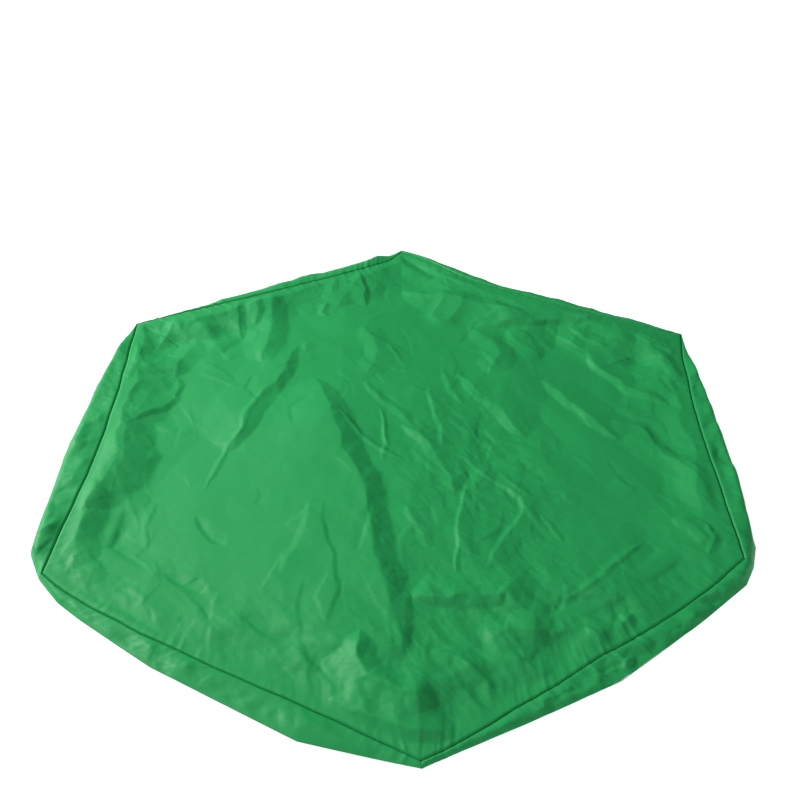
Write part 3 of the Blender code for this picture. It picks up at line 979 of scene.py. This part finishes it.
HEM_IN = 0.097  # from the straight line of the side in to the hem's edge
HEM_BOW = {"far_right": 0.0075}  # how much less that is at mid side
HEM_WIDE = 0.021
SIDE_LENGTH = 0.70  # a side's cloth laid flat
SKIRT_CREASES = 26  # on a side
STRIP_GAP = 0.0003  # where two strips meet
LOWEST = 0.0004  # of the cloth over the floor
FOLD_HEIGHT = 0.0034  # of the skirt's outermost line
FOLD_DEEP = 0.004
FLOOR = 0.0008
COLUMN = 0.0024  # spacing of the skirt's columns along a side
GATHER_HEIGHT = 0.0045  # of the hem's gathers, which fade out over GATHER_REACH
GATHER_REACH = 0.075
GATHER_PITCH = 0.0185
# How much of its gathers each side has, from 0 to 1.
GATHERED = {"right": 0.15, "far_right": 0.15, "far_left": 1, "left": 0.9, "near_left": 1, "near_right": 1}
JOINT = 0.6155  # where the far right side's two strips meet, from 0 to 1
SLIT = 0.733  # the hem is open from the joint to here
# How each side falls from the seam: height = (1 - share ** first) ** second.
FALL = {
    "right": (9.0, 1.0),
    "far_right": (2.4, 1.0),
    "far_left": (2.4, 1.0),
    "left": (14.0, 1.0),
    "near_left": (2.0, 1.0),
    "near_right": (2.6, 1.0),
}
CORNER_FALL = (3.0, 1.0)
CORNER_REACH = 0.075
# Millimetres that each side is puffed up by, towards its outer fold, and in the middle of its width.
PUFF = {"right": 9.0, "far_right": 3.0, "far_left": 3.0, "left": 4.0, "near_left": 3.0, "near_right": 2.5}
SWELL = {"near_right": 1.5}
# Each side's crumpling: millimetres of large, middle and small facets, how far the large ones are drawn out,
# and their heading in degrees.
CRUMPLES = {
    "right": (6.05, 2.86, 0.5, 1.8, 62),
    "far_right": (1.375, 0.65, 0.5, 1.8, 118),
    "far_left": (1.375, 0.65, 0.5, 1.8, 62),
    "left": (3.3, 1.56, 0.5, 1.8, 118),
    "near_left": (4.4, 2.08, 0.5, 2.6, 6),
    "near_right": (7.15, 6.5, 1.2, 2.6, 28),
}


def skirt_creases(length):
    """Folds across the skirt from the seam to the outer fold, in (along, down) metres."""
    count = int(SKIRT_CREASES * length / SIDE_LENGTH)
    heights = 1.2 * MM, 3.5 * MM
    return random_creases(count, (0, 0), (length, 0.085), (0.04, 0.12), heights, (0.006, 0.026), 35, 45)


def skirt_lift(name, along, down):
    """The skirt's crumpling: flat facets in three sizes."""
    seed = 200 + 17 * SIDE_NAMES.index(name)
    large, middle, small, stretch, heading = CRUMPLES[name]
    return (
        large * MM * facets(along, down, 0.042, seed, stretch, heading)
        + middle * MM * facets(along, down, 0.021, seed + 5, 1.5, heading + 30)
        + small * MM * facets(along, down, 0.009, seed + 9, 1.6, heading - 20)
    )


def skirt_profile(bulge, seam_height, puff, hem_edge, fall):
    """The skirt's section as rows of (outward, height, way down the cloth, kind), each for every column."""
    rows = []
    down = np.zeros_like(bulge)
    last = None

    def add(out, height, kind):
        nonlocal down, last
        if last is not None and kind != "allowance":
            down = down + np.hypot(out - last[0], height - last[1])
        last = (out, height)
        rows.append((out, height, down.copy(), kind))

    one = np.ones_like(bulge)
    for drop in (ALLOWANCE, 0.0065, GROOVE):
        scaled = GROOVE + (drop - GROOVE) * allowance_scale(seam_height)
        add(0.0005 * one, seam_height - scaled, "allowance")
    last = (0 * one, seam_height)
    for share in (0.012, 0.025, 0.045, 0.07, 0.10, *np.linspace(0.14, 1, 27)):
        top = seam_height - FOLD_HEIGHT + puff * share
        add(bulge * share, FOLD_HEIGHT + top * (1 - share ** fall[0]) ** fall[1], "face")
    deep = np.minimum(FOLD_DEEP, 0.5 * bulge)
    for turn in np.radians((22.5, 45, 67.5, 90)):
        add(bulge - deep * (1 - math.cos(turn)), FLOOR + (FOLD_HEIGHT - FLOOR) * (1 - math.sin(turn)), "fold")
    start = bulge - deep
    for share in np.linspace(0, 1, 28)[1:]:
        add(start + share * (hem_edge + HEM_WIDE - start), FLOOR * one, "floor")
    return rows


def gathers(name, along):
    """The hem's gathers along a side, between 0 and 1, as rounded folds of uneven pitch."""
    rng = np.random.default_rng(90 + SIDE_NAMES.index(name))
    turns = math.tau * along
    phase = turns / GATHER_PITCH
    for _ in range(4):
        phase = phase + rng.uniform(0.5, 1.3) * np.sin(turns / rng.uniform(0.05, 0.16) + rng.uniform(0, 6))
    ridge = 1 - np.abs(np.sin(phase / 2)) ** 0.75
    size = 0.65 + 0.35 * np.sin(turns / 0.07 + rng.uniform(0, 6))
    return ridge * size


STITCH = 0.0034  # from one stitch to the next
STITCH_LONG = 0.0026
THREAD_RADIUS = 0.00024
HEM_LINES = {}


def sew(points):
    """Stitches along a line: small bars with rounded ends, as (points, faces)."""
    starts = np.arange(STITCH, length_so_far(points)[-1] - STITCH, STITCH)
    stations = np.array((0, 0.2, 0.8, 1)) * STITCH_LONG
    sizes = np.array((0.35, 1, 1, 0.35)) * THREAD_RADIUS
    middle = along_line(points, (starts[:, None] + stations).ravel()).reshape(-1, 4, 3)
    across, up = cross_directions(middle[:, 3] - middle[:, 0])
    sides = 6
    turn = np.arange(sides) * math.tau / sides
    ring = np.cos(turn)[:, None, None] * across + np.sin(turn)[:, None, None] * up
    grid = middle[:, :, None] + sizes[None, :, None, None] * ring.transpose(1, 0, 2)[:, None]
    faces = []
    for number in range(len(starts)):
        faces += tube_faces(4, sides, number * 4 * sides)
    return grid.reshape(-1, 3), faces


def join_pieces(name, parts, material):
    points, faces, first = [], [], 0
    for part_points, part_faces in parts:
        points.append(part_points)
        faces += [tuple(first + i for i in face) for face in part_faces]
        first += len(part_points)
    return mesh_object(name, np.concatenate(points), faces, material)


def make_strip(name, side_name, start, end, slit=None):
    side = sides[side_name]
    count = max(20, round(side.length * (end - start) / COLUMN))
    s = np.linspace(start, end, count + 1)
    gap = STRIP_GAP / side.length
    s = np.clip(s, start + (gap if start else 0), end - (gap if end < 1 else 0))
    along = s * side.length
    seam_place, seam_height = side.seam(s)
    bulge = side.bulge(s)
    outward = side.outward(s)
    hem_in = HEM_IN - HEM_BOW.get(side_name, 0) * np.sin(np.pi * s) ** 0.5
    hem_edge = -hem_in - side.bow(s)
    near_corner = np.exp(-((np.minimum(s, 1 - s) * side.length / CORNER_REACH) ** 2))
    fall = [own + (shared - own) * near_corner for own, shared in zip(FALL[side_name], CORNER_FALL)]
    puff = PUFF[side_name] * MM * (1 - near_corner)
    rows = skirt_profile(bulge, seam_height, puff, hem_edge, fall)
    folds = skirt_creases(side.length)
    # The crumpling dies out towards both ends, where the strip is sewn to the next.
    near_end = np.minimum(s - start, end - s) * side.length
    closing = 1 - np.exp(-((near_end / 0.020) ** 2))
    points = []
    gather = gathers(side_name, along) * GATHERED[side_name]

    def add_row(out, height):
        points.append(np.column_stack((seam_place + out[:, None] * outward, height)))

    for out, height, down, kind in rows:
        if kind == "allowance":
            drop = pucker(side_name, s, np.zeros_like(s))
            add_row(out, height + drop)
            continue
        height = height - groove(down) * (down < 0.02) + pucker(side_name, s, down)
        lift = skirt_lift(side_name, along, down)
        for line, size, left, right in folds:
            lift += crease(along, down, line, size, left, right)
        lift *= closing * (1 - np.exp(-((down / 0.014) ** 2)))
        if kind == "floor":
            hem_near = np.clip(1 - (out - hem_edge) / GATHER_REACH, 0, 1)
            room = np.clip((0.3 * bulge - out) / 0.03, 0, 1) * np.clip((seam_height - 0.006) / 0.02, 0, 1)
            room = room * np.clip((out - hem_edge - HEM_WIDE) / 0.02, 0, 1)
            height = height + room * np.abs(lift) * 0.5 + GATHER_HEIGHT * gather * hem_near**1.5
        elif kind == "fold":
            height = height + 0.1 * np.abs(lift)
        else:
            share = np.clip(out / np.maximum(bulge, 0.001), 0, 1)
            height = height + lift * np.minimum(1, 2.2 * (1.12 - share)) * np.clip(seam_height / 0.006, 0, 1)
            height = height + SWELL.get(side_name, 0) * MM * np.sin(np.pi * share)
            least = FOLD_HEIGHT - LOWEST
            height = (height + least + np.sqrt((height - least) ** 2 + 0.0012**2)) / 2 - 0.0006 * share**4
        add_row(out, np.maximum(height, LOWEST))
    # The hem: on to its edge, up, and back over the cord to the row of stitches.
    casing_first = len(points)
    wave = 1.2 * MM * np.sin(along * 340 + 2 * np.sin(along * 71)) * GATHERED[side_name]
    tube = 6.2 * MM + 2.0 * MM * gather
    turns = [
        (0.75, 0.0), (0.5, 0.0), (0.25, 0.0), (0.08, 0.02), (0.0, 0.18), (-0.03, 0.5), (0.02, 0.82),
        (0.12, 0.97), (0.3, 1.0), (0.5, 1.0), (0.7, 0.97), (0.85, 0.8), (0.95, 0.45), (1.02, 0.22),
    ]
    for share, rise in turns:
        out = hem_edge + share * HEM_WIDE + wave
        under = FLOOR + GATHER_HEIGHT * gather * (1 - max(share, 0) * HEM_WIDE / GATHER_REACH) ** 1.5
        height = np.maximum(under * (1 - 0.6 * rise) + rise * tube, under + min(rise, 0.2) * 4.5 * MM)
        add_row(out, np.maximum(height, LOWEST))
    cord_line = seam_place + (hem_edge + HEM_WIDE / 2)[:, None] * outward
    HEM_LINES[name] = np.column_stack((cord_line, 0.0033 + 3.6 * MM * gather))
    # Two rows of stitches through the hem, below and on top.
    sewn = s > (slit[1] if slit else -1)
    threads = [sew(points[casing_first - 1][sewn]), sew(points[casing_first + 11][sewn])]
    columns = count + 1
    grid = np.concatenate(points)
    faces = []
    for row in range(len(points) - 1):
        for i in range(count):
            if slit and row >= casing_first - 1 and slit[0] <= (s[i] + s[i + 1]) / 2 <= slit[1]:
                continue
            a = row * columns + i
            faces.append((a, a + columns, a + columns + 1, a + 1))
    strip = mesh_object(name + "_cloth", grid, faces, GREEN, SILVER)
    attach(strip, "cover")
    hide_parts(name)
    thread = join_pieces(name + "_hem_thread", threads, THREAD)
    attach(thread, "cover")


def make_skirt():
    for name in SIDE_NAMES:
        if name != "far_right":
            make_strip("skirt_" + name, name, 0, 1)
    make_strip("skirt_far_right_long", "far_right", 0, JOINT)
    make_strip("skirt_far_right_short", "far_right", JOINT, 1, slit=(JOINT, SLIT))


left_path = make_cord_end("left", LEFT_END_ROUTE)
right_path = make_cord_end("right", RIGHT_END_ROUTE)
make_top_panel()
make_skirt()
make_cord_in_hem(left_path[0], right_path[0])
